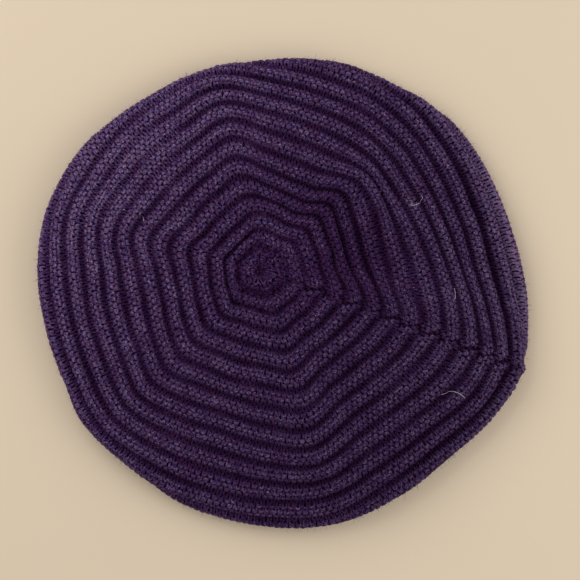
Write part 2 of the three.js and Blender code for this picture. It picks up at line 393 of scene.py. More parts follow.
def rim_nearness(bearing, course):
    """1 on the outermost line of the rim, fading to 0 a few courses away."""
    return np.exp(-(((course - rim_course(bearing, math.pi / 2)) / RIM_REACH) ** 2))


def rim_bulge(bearing):
    """How far the rim bulges outwards here, in millimetres."""
    total = RIM_LET_OUT
    for middle, spread, bulge in RIM_BULGES.values():
        total = total + bulge * np.exp(-((turn_from(bearing, middle) / spread) ** 2))
    return total


def welt_wave(course):
    """0 at the bottom of a groove, and 1 along the top of a welt."""
    wave = np.hypot(np.sin(course / COURSES_PER_WELT * math.pi), GROOVE_ROUNDNESS) - GROOVE_ROUNDNESS
    return wave / (np.hypot(1, GROOVE_ROUNDNESS) - GROOVE_ROUNDNESS)


def summed(places, bearing, groove):
    """The sum of a table of soft-edged places."""
    total = 0
    for middle, spread, at_groove, grooves, change in places.values():
        around = (turn_from(bearing, middle) / spread) ** 2
        total = total + change * np.exp(-around - ((groove - at_groove) / grooves) ** 2)
    return total


def relief_share(bearing, groove):
    """How deep the grooves are here, as a share of RELIEF. They flatten out where the seam is sewn."""
    from_seam = np.radians(turn_from(bearing, SEAM_BEARING)) * groove * OUTER_PITCH
    flattened = SEAM_FLATNESS * np.exp(-((from_seam / SEAM_FLAT_WIDTH) ** 2)) * np.clip(groove - 1, 0, 1)
    flattened = flattened + RIM_FLATNESS * rim_nearness(bearing, groove * COURSES_PER_WELT)
    share = 1 + UNEVEN_RELIEF * relief_wandering(bearing, groove) - flattened
    return share + summed(STRETCH, bearing, groove)


print("relief at the top of the hat:", round(float(relief_share(90, 7)), 2), "of", RELIEF, "mm")

# %% [markdown]
# A point of the cloth is the point of the path at its place, lifted along the path's own normal. The normal
# of the relief itself comes from four points close by.

# %% A point on the cloth
GROOVE_STEP = 0.02
NORMAL_STEP = 0.1


def cloth(bearing, course, raise_by=0.0):
    """A point on the middle of the knitted cloth, in millimetres, or raised off it."""
    bearing, course = np.broadcast_arrays(np.asarray(bearing, float), np.asarray(course, float))
    groove = course / COURSES_PER_WELT
    wave = welt_wave(course)
    settled = np.clip(groove / WANDERING_GROWN_AT, 0, 1) * np.clip(WELT_COUNT - groove, 0, 1)
    groove = groove + UNEVEN_LINE * line_wandering(bearing, groove) * settled
    lift = CREST - RELIEF * relief_share(bearing, groove) * (1 - wave) + raise_by
    lift = lift + UNEVEN_HEIGHT * height_wandering(bearing, groove) * settled
    lift = lift + rim_bulge(bearing) * rim_nearness(bearing, course)
    here = path(bearing, groove)
    after = path(bearing, np.minimum(groove + GROOVE_STEP, WELT_COUNT))
    before = path(bearing, np.maximum(groove - GROOVE_STEP, 0))
    along = after - before
    along = along / np.linalg.norm(along, axis=-1, keepdims=True)
    lift = lift + seam_dent(bearing, groove, here[..., 0])
    out = here[..., 0] - along[..., 1] * lift
    height = here[..., 1] + along[..., 0] * lift
    angle = np.radians(bearing)
    x = CROWN_CENTRE[0] + out * np.cos(angle) - MIDDLE_SHIFT * np.exp(-((groove / MIDDLE_GROOVES) ** 2))
    y = CROWN_CENTRE[1] + out * np.sin(angle)
    return np.stack([x, y, height], -1)


def cloth_normal(bearing, course):
    """The direction that points out of the cloth, of length 1."""
    across = cloth(bearing, course + NORMAL_STEP) - cloth(bearing, course - NORMAL_STEP)
    around = cloth(bearing + NORMAL_STEP, course) - cloth(bearing - NORMAL_STEP, course)
    normal = np.cross(across, around)
    return normal / np.linalg.norm(normal, axis=-1, keepdims=True)


crest_point = cloth(90.0, COURSES_PER_WELT * 5.5)
print("a crest towards the top edge:", crest_point.round(1), "mm")

# %% [markdown]
# ## A sheet that can be wrapped
#
# The cloth behind the stitches and each round of yarn are a flat grid, as paper is, that is wrapped or
# rolled up. The grid primitive gives the faces and a map of them. Its points are laid in place by an array,
# and merging the points that meet closes the seam, as taping the edges would. The grid's upper side ends up
# inside, so its faces are flipped to look outwards.
#
# The map matters later, when the wool's colours are baked into a picture. A round of yarn is a strip
# thousands of faces long and four wide, which would waste nearly all of a square picture. So each strip is
# cut into lines that are laid one under another.


# %% Wrapping a grid
BAKE_MAP = "OFBake"
POINTS_MEET = 0.002


def uv_values(layer):
    values = np.empty(2 * len(layer.data), np.float32)
    layer.data.foreach_get("uv", values)
    return values.reshape(-1, 2)


def lay_out_strips(piece, rows_high):
    """Cuts the long strips of a piece's bake map into lines that fill a square, like lines of writing.

    Until now the map counts faces along the yarn and across it, and each new round starts again at 0.
    """
    layer = piece.data.uv_layers[BAKE_MAP]
    corners = uv_values(layer)
    faces = piece.data.polygons
    starts, sizes = np.empty(len(faces), int), np.empty(len(faces), int)
    faces.foreach_get("loop_start", starts)
    faces.foreach_get("loop_total", sizes)
    face_of_corner = np.repeat(np.arange(len(faces)), sizes)
    cells = np.floor(np.add.reduceat(corners, starts) / sizes[:, None])
    along, across = cells.T
    new_round = (np.diff(across, prepend=across[0]) < 0).cumsum()
    lengths = np.array([along[new_round == number].max() + 1 for number in range(new_round[-1] + 1)])
    line_length = math.ceil(math.sqrt(lengths.sum() * rows_high))
    lines = np.ceil(lengths / line_length)
    first_line = np.append(0, lines.cumsum())[new_round]
    line = first_line + along // line_length
    within = corners - cells[face_of_corner]
    place = np.stack([along % line_length, line * rows_high + across], -1)[face_of_corner]
    filled = (place + within) / (line_length, lines.sum() * rows_high)
    layer.data.foreach_set("uv", filled.clip(0, 1).astype(np.float32).ravel())


def wrapped_grid(name, points, nap=None):
    """A grid primitive laid on points[column, row], in millimetres, with its meeting edges merged.

    The last argument holds a value for each point, painted shade and painted light with some random tone:
    from 0, darkest, deep in the cloth, to 1, lightest, where the yarn stands out.
    """
    columns, rows = points.shape[0] - 1, points.shape[1] - 1
    bpy.ops.object.select_all(action="DESELECT")
    bpy.ops.mesh.primitive_grid_add(x_subdivisions=columns, y_subdivisions=rows, size=1)
    piece = bpy.context.object
    piece.name = name
    piece.data.name = name
    cells = piece.data.uv_layers.new(name=BAKE_MAP)
    sheet = uv_values(piece.data.uv_layers[0])
    cells.data.foreach_set("uv", (sheet * (columns, rows)).astype(np.float32).ravel())
    in_order = points.transpose(1, 0, 2).reshape(-1, 3)
    piece.data.vertices.foreach_set("co", (in_order * MM).astype(np.float32).ravel())
    if nap is not None:
        values = piece.data.attributes.new("nap", "FLOAT", "POINT")
        values.data.foreach_set("value", nap.T.astype(np.float32).ravel())
    bpy.ops.object.mode_set(mode="EDIT")
    bpy.ops.mesh.select_all(action="SELECT")
    bpy.ops.mesh.remove_doubles(threshold=POINTS_MEET * MM)
    bpy.ops.mesh.flip_normals()
    bpy.ops.object.mode_set(mode="OBJECT")
    bpy.ops.object.shade_smooth()
    return piece


def triangle_count(piece):
    return sum(len(face.vertices) - 2 for face in piece.data.polygons)


print("points closer than", POINTS_MEET, "mm are merged")

# %% [markdown]
# ## The cloth behind the stitches
#
# Wool yarn is fluffy, so no daylight shows between its loops. A thin skin just under the loops does the
# same job. Its wool is painted dark, a painted shade in the gaps between the loops. It runs from the crown's
# centre out, round the rim and in to the head opening, and then back along the inside of the hat, so it is
# one closed piece. It stands for the solid crown.

# %% The crown's cloth
SKIN_UNDER_YARN = -0.6
INSIDE_OF_CLOTH = -1.4
SKIN_COLUMNS = 132
SKIN_LOWEST = 0.2

skin_bearings = CORNER_BEARINGS[0] + np.arange(SKIN_COLUMNS + 1) * 360 / SKIN_COLUMNS
skin_courses = [(course, SKIN_UNDER_YARN) for course in np.arange(0, LAST_COURSE + 0.5, 1.0)]
half_welt = COURSES_PER_WELT / 2
inside_courses = np.arange(LAST_COURSE // half_welt, -1, -1) * half_welt
skin_courses += [(course, INSIDE_OF_CLOTH) for course in inside_courses]
skin_rings = [cloth(skin_bearings, course, lift) for course, lift in skin_courses]
skin_points = np.stack(skin_rings, 1)
skin_points[-1] = skin_points[0]
skin_points[..., 2] = np.maximum(skin_points[..., 2], SKIN_LOWEST)
skin_points[:, 0, :] = skin_points[:, 0, :].mean(0)
skin_points[:, -1, :] = skin_points[:, -1, :].mean(0)
crown_cloth = wrapped_grid("crown_cloth", skin_points)
lay_out_strips(crown_cloth, len(skin_courses) - 1)
print("crown_cloth:", len(crown_cloth.data.vertices), "points,", triangle_count(crown_cloth), "triangles")

# %% [markdown]
# ## One round of yarn
#
# In a course the yarn runs once round the hat. It goes up into a head, down into a foot, up again, and each
# head is held by the feet of the next course. Seen flat, the line is x = t + A sin 2t + B sin t, y = cos t.
# Its third direction decides the kind of stitch: where heads and feet come to the front the stitch is purl,
# and where the legs come to the front it is plain. Every other round starts half a stitch further along, so
# that the bumps of a welt lie like bricks in a wall. The line is worked out on the flat and then carried
# onto the cloth by its bearing and course, so it follows every welt, fold and corner.
#
# Each point of the yarn also gets a shading value, which the wool material reads. It is painted shade and
# painted light: low in a groove, at the back of a loop and in the seam's dent, and high where a stitch
# stands out and on the outer side of the yarn, with a little random tone from stitch to stitch.

# %% Sizes of the yarn and its loops
# STITCH_WIDTH, LOOP_DEPTH, YARN_RADIUS and UNEVEN_LIFT are in mm. LOOP_HEIGHT and the two margins are in
# courses, and the waist, shift, narrowing and lean in stitches.
STITCH_WIDTH = 3.65
LOOP_HEIGHT = 0.72
LOOP_WAIST = 0.11
COURSE_SHIFT = 0.5
LOOP_NARROWING = 0.05
LOOP_DEPTH = 0.32
YARN_RADIUS = 0.79
PURL_LINES = (1, 2, 3)
GATHERED_COURSES = 6
UNEVEN_LOOP = 0.11
UNEVEN_LEAN = 0.08
UNEVEN_LIFT = 0.12
UNEVEN_SHADE = 0.08
LOOSER_IN_MIDDLE = 3
LOOSER_COURSES = 4
FIRST_LOOP_MARGIN = 0.3
LAST_LOOP_MARGIN = 0.4
# The shading values are painted shade and painted light: a base value, the shade in a groove, the light on a
# loop's front, the shade in the seam and the light on the yarn's outer side.
TONE_AND_SHADING_BASE = 0.68
GROOVE_PAINTED_SHADE = 0.66
FRONT_PAINTED_LIGHT = 0.16
SEAM_PAINTED_SHADE = 0.4
OUTSIDE_PAINTED_LIGHT = 0.18
SIDE_SAMPLES = 60
FITTED_STITCHES = 4
rng = np.random.default_rng(11)
print("yarn:", 2 * YARN_RADIUS, "mm thick")

# %% [markdown]
# The stitches of a course are counted off along its length. A round far out has many more of them than one
# near the middle, and the six corners take up the difference.


# %% Where the stitches stand
def stitches_in_course(course):
    """The bearing of each stitch of a course, with the first again at the end.

    Stitches keep their width and stay in line from course to course, out from the middle of each side.
    The last few before a corner are squeezed or stretched to fit.
    """
    corners = np.append(CORNER_BEARINGS, CORNER_BEARINGS[0] + 360)
    placed = []
    for first, last in zip(corners[:-1], corners[1:]):
        bearings = np.linspace(first, last, SIDE_SAMPLES)
        groove = np.full_like(bearings, course / COURSES_PER_WELT)
        line = path(bearings, np.minimum(groove, WELT_COUNT))[:, 0]
        x, y = line * np.cos(np.radians(bearings)), line * np.sin(np.radians(bearings))
        lengths = np.append(0, np.cumsum(np.hypot(np.diff(x), np.diff(y))))
        side_length = lengths[-1]
        count = max(2 * round(side_length / STITCH_WIDTH / 2), 1)
        fitted = min(FITTED_STITCHES, count // 2)
        number = np.arange(fitted, count - fitted + 1)
        inner = (number - count / 2) * STITCH_WIDTH + side_length / 2
        start = np.linspace(0, inner[0], fitted, endpoint=False)
        end = np.linspace(inner[-1], side_length, fitted + 1)[1:-1]
        placed.append(np.interp(np.concatenate([start, inner, end]), lengths, bearings))
    return np.append(np.concatenate(placed), corners[-1])


print("stitches in course 20:", len(stitches_in_course(20)) - 1, "and 60:", len(stitches_in_course(60)) - 1)


# %% The line of the yarn
def line_kind(lower_course):
    """+1 where the line between this course and the next is a purl ridge, and -1 where it is plain."""
    in_welt = lower_course % COURSES_PER_WELT in PURL_LINES
    return 1 if in_welt or lower_course < GATHERED_COURSES else -1


def uneven(count, amount):
    """Small differences from stitch to stitch, as in hand knitting, that join up round the course."""
    values = rng.normal(0, amount, count)
    return np.append(values, values[0])


def yarn_line(course, samples):
    """Points of one course's yarn on the hat, in millimetres, and the cloth's normals there."""
    stitch_bearings = stitches_in_course(course)
    total = len(stitch_bearings) - 1
    t = np.arange(total * samples) * 2 * math.pi / samples
    stitch = t / (2 * math.pi)
    knots = np.arange(total + 1)
    loose = 1 + LOOSER_IN_MIDDLE * math.exp(-course / LOOSER_COURSES)
    height = LOOP_HEIGHT * (1 + np.interp(stitch, knots, uneven(total, UNEVEN_LOOP * loose)))
    lean = np.interp(stitch, knots, uneven(total, UNEVEN_LEAN * loose))
    lift = np.interp(stitch, knots, uneven(total, UNEVEN_LIFT * loose))
    shift = COURSE_SHIFT * (course % 2)
    u = (stitch + LOOP_WAIST * np.sin(2 * t) + LOOP_NARROWING * np.sin(t) + lean + shift) % total
    bearing = np.interp(u, knots, stitch_bearings)
    feet, heads = line_kind(course), line_kind(course - 1)
    depth = (feet + heads) / 2 * np.cos(2 * t) + (feet - heads) / 2 * np.cos(t)
    at_course = np.clip(course + height * np.cos(t), FIRST_LOOP_MARGIN, LAST_COURSE + LAST_LOOP_MARGIN)
    normal = cloth_normal(bearing, at_course)
    points = cloth(bearing, at_course) + normal * (LOOP_DEPTH * depth + lift)[:, None]
    depth_share = relief_share(bearing, at_course / COURSES_PER_WELT)
    sewn_in = seam_dent(bearing, at_course / COURSES_PER_WELT, np.hypot(*(points[:, :2] - CROWN_CENTRE).T))
    # Painted shade: darker in the grooves, at the back of a loop and in the seam's dent; painted light on a
    # loop's front.
    nap = TONE_AND_SHADING_BASE - GROOVE_PAINTED_SHADE * depth_share * (1 - welt_wave(at_course)) + FRONT_PAINTED_LIGHT * depth
    nap = nap + SEAM_PAINTED_SHADE * np.minimum(sewn_in, 0)
    # Painted shade in the hollows and the middle, and painted light on the sides and rim towards the lamps.
    nap = nap + summed(PAINTED_LIGHT_AND_SHADE, bearing, at_course / COURSES_PER_WELT)
    nap = nap + np.interp(stitch, knots, uneven(total, UNEVEN_SHADE))
    return points, normal, nap, total


def yarn_tube(name, points, normals, nap, radius, sides):
    """Rolls a grid into a tube of yarn along a closed line."""
    along = np.roll(points, -1, 0) - np.roll(points, 1, 0)
    along = along / np.linalg.norm(along, axis=1, keepdims=True)
    up = normals - along * (normals * along).sum(1, keepdims=True)
    up = up / np.linalg.norm(up, axis=1, keepdims=True)
    side = np.cross(along, up)
    turns = (np.arange(sides + 1) + 0.5) * 2 * math.pi / sides
    ring = np.cos(turns)[None, :, None] * up[:, None, :] + np.sin(turns)[None, :, None] * side[:, None, :]
    tube = points[:, None, :] + radius * ring
    tube[..., 2] = np.maximum(tube[..., 2], 0.0)
    tube = np.concatenate([tube, tube[:1]], 0)
    tube[:, -1, :] = tube[:, 0, :]
    # The yarn's outer side gets a painted light and its inner side a painted shade.
    tube_tone_and_shading = nap[:, None] + OUTSIDE_PAINTED_LIGHT * np.cos(turns)[None, :]
    return wrapped_grid(name, tube, np.concatenate([tube_tone_and_shading, tube_tone_and_shading[:1]], 0))


print("kinds of the first ten lines:", [line_kind(course) for course in range(10)])

# %% [markdown]
# ## All the rounds
#
# The rounds are made one after another and joined, a few welts to a piece, so that no piece grows too
# large. Rounds that face the table get fewer points.

# %% Knit the crown
TOP_SAMPLES = 10
UNDER_SAMPLES = 6
TOP_SIDES = 4
UNDER_SIDES = 3
LAST_TOP_COURSE = 69
MOST_TRIANGLES = 190000


def joined(name, pieces):
    bpy.ops.object.select_all(action="DESELECT")
    for piece in pieces:
        piece.select_set(True)
    bpy.context.view_layer.objects.active = pieces[0]
    bpy.ops.object.join()
    whole = bpy.context.object
    whole.name = name
    whole.data.name = name
    return whole


crown_stitches = []
waiting, waiting_triangles, knitted = [], 0, 0
for course in range(1, LAST_COURSE + 1):
    on_top = course <= LAST_TOP_COURSE
    samples = TOP_SAMPLES if on_top else UNDER_SAMPLES
    sides = TOP_SIDES if on_top else UNDER_SIDES
    line, normals, nap, total = yarn_line(course, samples)
    new_triangles = len(line) * sides * 2
    if waiting and waiting_triangles + new_triangles > MOST_TRIANGLES:
        crown_stitches.append(joined(f"crown_stitches_{len(crown_stitches) + 1}", waiting))
        waiting, waiting_triangles = [], 0
    waiting.append(yarn_tube(f"course_{course}", line, normals, nap, YARN_RADIUS, sides))
    waiting_triangles += new_triangles
    knitted += total
crown_stitches.append(joined(f"crown_stitches_{len(crown_stitches) + 1}", waiting))
for piece in crown_stitches:
    lay_out_strips(piece, TOP_SIDES)
print("stitches:", knitted, "pieces:", len(crown_stitches))
for piece in crown_stitches:
    print(piece.name, triangle_count(piece), "triangles")


# %% [markdown]
# ## The headband
#
# The band inside the head opening is knitted in rib: two plain stitches stand out, then one purl stitch
# sinks in, sixty times round. Every stitch column keeps its kind from course to course, which is what makes
# the ribs run towards the middle of the opening. A closed strip of cloth fills it, as it does the crown.

# %% Knit the headband
BAND_OUTER = OPENING_RADIUS - 0.6
BAND_DEPTH = 23.4
BAND_COURSES = 10
BAND_MIDDLE = 1.75
RIB_RELIEF = 0.45
RIB = (1, 1, -1)
RIB_COUNT = 60
BAND_YARN_RADIUS = 0.68
BAND_LOOP_HEIGHT = 0.59
BAND_LOOP_DEPTH = 0.5
BAND_TONE_AND_SHADING_BASE = 0.5
BAND_SAMPLES = 6
BAND_CLOTH_INSET = 1.0
BAND_CLOTH_LEVELS = (1.5, 2.3)
BAND_CLOTH_COLUMNS = 120


def band_yarn(course):
    """One course of the headband, the same way as the crown's courses but flat, its right side down."""
    total = RIB_COUNT * len(RIB)
    knots = np.arange(total + 1)
    kinds = np.append(np.tile(RIB, RIB_COUNT), RIB[0])
    pitch = BAND_DEPTH / BAND_COURSES
    t = np.arange(total * BAND_SAMPLES) * 2 * math.pi / BAND_SAMPLES
    stitch = t / (2 * math.pi)
    kind = np.interp(stitch, knots, kinds)
    lean = np.interp(stitch, knots, uneven(total, UNEVEN_LEAN))
    height = BAND_LOOP_HEIGHT * pitch * (1 + np.interp(stitch, knots, uneven(total, UNEVEN_LOOP)))
    angle = (stitch + LOOP_WAIST * np.sin(2 * t) + lean) * 2 * math.pi / total
    radius = BAND_OUTER - pitch * (course + 0.5) - height * np.cos(t)
    radius = np.clip(radius, BAND_OUTER - BAND_DEPTH + BAND_YARN_RADIUS, BAND_OUTER - BAND_YARN_RADIUS)
    depth = kind * (RIB_RELIEF - BAND_LOOP_DEPTH * np.cos(2 * t))
    x = OPENING_CENTRE[0] + radius * np.cos(angle)
    y = OPENING_CENTRE[1] + radius * np.sin(angle)
    points = np.stack([x, y, BAND_MIDDLE - depth], -1)
    normals = np.tile([0.0, 0.0, -1.0], (len(points), 1))
    # The band's shading value is painted light on the fronts of its loops and painted shade on their backs,
    # with some random tone.
    nap = BAND_TONE_AND_SHADING_BASE + FRONT_PAINTED_LIGHT * depth + np.interp(stitch, knots, uneven(total, UNEVEN_SHADE))
    return points, normals, nap


band_rounds = []
for course in range(BAND_COURSES):
    line, normals, nap = band_yarn(course)
    band_rounds.append(yarn_tube(f"band_course_{course}", line, normals, nap, BAND_YARN_RADIUS, UNDER_SIDES))
band_stitches = joined("headband_stitches", band_rounds)
lay_out_strips(band_stitches, UNDER_SIDES)

bottom, top = BAND_CLOTH_LEVELS
near, far = BAND_OUTER - BAND_DEPTH + BAND_CLOTH_INSET, BAND_OUTER - BAND_CLOTH_INSET
section = np.array([(near, bottom), (near, top), (far, top), (far, bottom), (near, bottom)])
angles = np.radians(np.arange(BAND_CLOTH_COLUMNS + 1) * 360 / BAND_CLOTH_COLUMNS)
angles[-1] = 0
band_x = OPENING_CENTRE[0] + section[None, :, 0] * np.cos(angles)[:, None]
band_y = OPENING_CENTRE[1] + section[None, :, 0] * np.sin(angles)[:, None]
band_z = np.broadcast_to(section[None, :, 1], band_x.shape)
band_cloth = wrapped_grid("headband_cloth", np.stack([band_x, band_y, band_z], -1))
lay_out_strips(band_cloth, len(section) - 1)
print(band_stitches.name, triangle_count(band_stitches), "triangles; cloth:", triangle_count(band_cloth))

# %% [markdown]
# ## Loose fibres
#
# Wool always sheds a halo of fine hairs, which shows best round the rim against the pale table. Each hair is
# a little curved spike with a point at both ends. Thousands of them are one joined mesh from arrays. A few
# short pale fibres have also settled on the crown, as they do on any dark wool.

# %% Spikes
SPIKE_SIDES = 3
ACROSS_MOST_SPIKES = (0.36, 0.48, 0.8)
CELL_MARGIN = 0.1


def spikes(name, lines, radius, nap):
    """Closed three-sided spikes along lines[number, station]. The first and last stations are points."""
    count, stations = lines.shape[:2]
    along = lines[:, 2:] - lines[:, :-2]
    along = along / np.linalg.norm(along, axis=-1, keepdims=True)
    side = np.cross(along, ACROSS_MOST_SPIKES)
    side = side / np.linalg.norm(side, axis=-1, keepdims=True)
    up = np.cross(side, along)
    turns = np.arange(SPIKE_SIDES) * 2 * math.pi / SPIKE_SIDES
    ring = np.cos(turns)[:, None] * side[:, :, None, :] + np.sin(turns)[:, None] * up[:, :, None, :]
    rings = (lines[:, 1:-1, None, :] + radius * ring).reshape(count, -1, 3)
    points = np.concatenate([lines[:, :1], rings, lines[:, -1:]], 1)
    last = SPIKE_SIDES * (stations - 2) + 1
    sides = [(n, (n + 1) % SPIKE_SIDES) for n in range(SPIKE_SIDES)]
    faces = [(0, 1 + n, 1 + after) for n, after in sides]
    for a in range(1, last - SPIKE_SIDES, SPIKE_SIDES):
        b = a + SPIKE_SIDES
        faces += [(a + n, b + n, b + after, a + after) for n, after in sides]
    faces += [(last - SPIKE_SIDES + n, last, last - SPIKE_SIDES + after) for n, after in sides]
    every_face = []
    for first in range(0, count * (last + 1), last + 1):
        every_face += [[corner + first for corner in face] for face in faces]
    mesh = bpy.data.meshes.new(name)
    mesh.from_pydata((points.reshape(-1, 3) * MM).tolist(), [], every_face)
    mesh.attributes.new("nap", "FLOAT", "POINT").data.foreach_set("value", np.full(len(mesh.vertices), nap))
    piece = bpy.data.objects.new(name, mesh)
    bpy.context.collection.objects.link(piece)
    piece.select_set(True)
    bpy.context.view_layer.objects.active = piece
    bpy.ops.object.shade_smooth()
    give_own_cells(piece)
    return piece


def give_own_cells(piece):
    """A bake map in which every face has a little square of its own."""
    layer = piece.data.uv_layers.new(name=BAKE_MAP)
    across = math.ceil(math.sqrt(len(piece.data.polygons)))
    low, high = CELL_MARGIN, 1 - CELL_MARGIN
    square = np.array([(low, low), (high, low), (high, high), (low, high)])
    for number, face in enumerate(piece.data.polygons):
        for corner, loop in enumerate(face.loop_indices):
            layer.data[loop].uv = (square[corner] + (number % across, number // across)) / across


print("sides of a spike:", SPIKE_SIDES)

# %% Fuzz
RIM_HAIRS = 2400
TOP_HAIRS = 700
HAIR_RADIUS = 0.05
HAIR_LENGTH = (1.2, 3.2)
HAIR_SHARES = (0.3, 0.7)
HAIR_START = 0.3
HAIR_LEAN = 0.7
HAIR_BEND = 0.35
HAIR_LOWEST = 0.15
RIM_TURNS = (0.5, 2.2)
MIDDLE_SHARE = 0.01
hair_rng = np.random.default_rng(21)


def hairs(bearings, courses):
    """Curved lines that start in the cloth at these places and end a little way out of it."""
    count = len(bearings)
    normals = cloth_normal(bearings, courses)
    start = cloth(bearings, courses) + HAIR_START * normals
    length = hair_rng.uniform(*HAIR_LENGTH, count)[:, None]
    way = normals + hair_rng.normal(0, HAIR_LEAN, (count, 3))
    way = way / np.linalg.norm(way, axis=1, keepdims=True)
    bend = hair_rng.normal(0, HAIR_BEND, (count, 3))
    shares = [0, *HAIR_SHARES, 1]
    lines = np.stack([start + length * (share * way + share**2 * bend) for share in shares], 1)
    lines[..., 2] = np.maximum(lines[..., 2], HAIR_LOWEST)
    return lines


rim_bearings = hair_rng.uniform(0, 360, RIM_HAIRS)
rim_lines = hairs(rim_bearings, rim_course(rim_bearings, hair_rng.uniform(*RIM_TURNS, RIM_HAIRS)))
top_bearings = hair_rng.uniform(0, 360, TOP_HAIRS)
flat_courses = COURSES_PER_WELT * LAST_TABLED_GROOVE
top_lines = hairs(top_bearings, flat_courses * np.sqrt(hair_rng.uniform(MIDDLE_SHARE, 1, TOP_HAIRS)))
# The hairs get the highest shading value, a painted light.
fuzz = spikes("crown_fuzz", np.concatenate([rim_lines, top_lines]), HAIR_RADIUS, 1.0)
print(fuzz.name, triangle_count(fuzz), "triangles")

# %% Lint
# Each bit of lint lies along a few of the photograph's pixels, listed right and down.
LINT_RADIUS = 0.11
LINT_LIFT = 1.0
LINT_STATIONS = 14
LINT_GROOVES = np.linspace(0, 13, 1301)
LINT_PIXELS = {
    "white stroke at the lower right": ((438, 393), (450, 392), (458, 393), (464, 397)),
    "small loop at the upper right": ((409, 205), (414, 206), (419, 203), (423, 198), (421, 195)),
    "pale stroke at the right": ((452, 288), (453, 294), (452, 300)),
    "curve at the left": ((142, 216), (145, 219), (146, 223)),
    "speck at the left": ((123, 209), (124, 209), (125, 210)),
}


def place_under(pixel):
    """The bearing and the groove of the crown's place that the photograph shows at a pixel."""
    right, down = np.array(pixel) - PICTURE_PIXELS / 2
    from_view_centre = np.array([right, -down]) * PICTURE_WIDTH / PICTURE_PIXELS
    x, y = from_view_centre + VIEW_CENTRE - CROWN_CENTRE
    bearing = math.degrees(math.atan2(y, x))
    outs = path(np.full(len(LINT_GROOVES), bearing), LINT_GROOVES)[:, 0]
    nearest = np.argmin(np.abs(outs - math.hypot(x, y)))
    return bearing, LINT_GROOVES[nearest]


lint_lines = []
for name, pixels in LINT_PIXELS.items():
    places = [place_under(pixel) for pixel in pixels]
    print(name, "from bearing", round(places[0][0], 1), "and groove", round(places[0][1], 2))
    bearings, grooves = np.array(places).T
    share = np.linspace(0, 1, len(places))
    stations = np.linspace(0, 1, LINT_STATIONS)
    bearing = smooth_between(share, bearings, stations)
    course = COURSES_PER_WELT * smooth_between(share, grooves, stations)
    lint_lines.append(cloth(bearing, course) + cloth_normal(bearing, course) * LINT_LIFT)
lint = spikes("crown_lint", np.stack(lint_lines), LINT_RADIUS, 1.0)
print(lint.name, triangle_count(lint), "triangles")

# %% [markdown]
# ## Shader maths
#
# A wool material is mostly sums of noise patterns. This small class wraps one socket of a node tree, so that
# such a sum can be written as ordinary arithmetic, and its one other method adds any node.


# %% A socket that does sums
NOISE_DETAIL = 2


class Strand:
    def __init__(self, tree, socket=None):
        self.tree = tree
        self.socket = socket

    def node(self, kind, settings=None, inputs=None, output=0):
        """Adds a node: its settings first, then the values or links of its sockets."""
        made = self.tree.nodes.new(kind)
        for key, value in (settings or {}).items():
            if key == "stops":
                ramp = made.color_ramp.elements
                while len(ramp) < len(value):
                    ramp.new(0.5)
                for stop, (place, colour) in zip(ramp, value):
                    stop.position = place
                    stop.color = (*colour, 1)
            else:
                setattr(made, key, value)
        for key, value in (inputs or {}).items():
            if isinstance(value, Strand):
                self.tree.links.new(value.socket, made.inputs[key])
            else:
                made.inputs[key].default_value = value
        return Strand(self.tree, made.outputs[output] if made.outputs else None)

    def maths(self, operation, first, second):
        return self.node("ShaderNodeMath", {"operation": operation}, {0: first, 1: second})

    def __add__(self, other):
        return self.maths("ADD", self, other)

    def __mul__(self, other):
        return self.maths("MULTIPLY", self, other)

    def __sub__(self, other):
        return self.maths("SUBTRACT", self, other)

    def __rsub__(self, other):
        return self.maths("SUBTRACT", other, self)

    __radd__ = __add__
    __rmul__ = __mul__


def noise(strand, where, features_per_metre):
    inputs = {"Vector": where, "Scale": features_per_metre, "Detail": NOISE_DETAIL}
    return strand.node("ShaderNodeTexNoise", {"noise_dimensions": "3D"}, inputs)


def blend(strand, share, first, second):
    """Mixes two colours. The colour sockets of a Mix node are its seventh and eighth."""
    return strand.node("ShaderNodeMix", {"data_type": "RGBA"}, {0: share, 6: first, 7: second}, output=2)


print("noises have a detail of", NOISE_DETAIL)

# %% [markdown]
# ## Heathered wool
#
# The yarn is spun from fibres dyed in several shades, so close up it is dark plum flecked with violet and
# lilac, and from afar it is one deep purple. Noise at the size of a few fibres, added to the yarn's shading
# value (painted shade in grooves and hollows, painted light where stitches stand out), chooses between the
# shades. Wider noises shift whole patches a little, and turn some redder or bluer. The colour is also
# painted lighter towards the upper left, where the window lamp is: a painted light across the hat. Wool has
# a soft halo of loose fibres that brightens where it is seen edge on, which is what Sheen is for.

# %% The wool's shades
PLUM = (0.009, 0.0005, 0.024)
VIOLET = (0.036, 0.016, 0.074)
LILAC = (0.22, 0.16, 0.30)
ROSE = (0.46, 0.19, 0.43)
REDDISH = (0.085, 0.014, 0.056)
WOOL_SHADES = [(0.30, PLUM), (0.52, VIOLET), (0.74, LILAC), (1.0, ROSE)]
FLECKS_PER_METRE, FLECKS = 1100, 0.6
FIBRES_PER_METRE, FIBRES = 2600, 0.7
PATCHES_PER_METRE, PATCHES = 90, 0.12
TONE_AND_SHADING_SHARE = 0.3
DARKER_BY = 0.425
RED_FLECKS_PER_METRE, RED_FLECKS, FEWER_BY, MOST_RED = 1300, 4.0, 1.95, 0.6
DYES_PER_METRE = 330
DYE_LOTS = [(0.38, (0.91, 0.97, 1.05)), (0.62, (1.09, 1.02, 0.96))]
PAINTED_LIGHT_PER_METRE = (-1.7, 1.2)
BUMP_HEIGHT = 0.3 * MM
BUMP_STRENGTH = 0.6
FLECKS_IN_BUMP = 0.5
WOOL_ROUGHNESS = 0.9
WOOL_SPECULAR = 0.06
SHEEN = 0.14
SHEEN_ROUGHNESS = 0.5
SHEEN_TINT = (0.66, 0.26, 0.80, 1)
print("shades of the wool:", len(WOOL_SHADES))


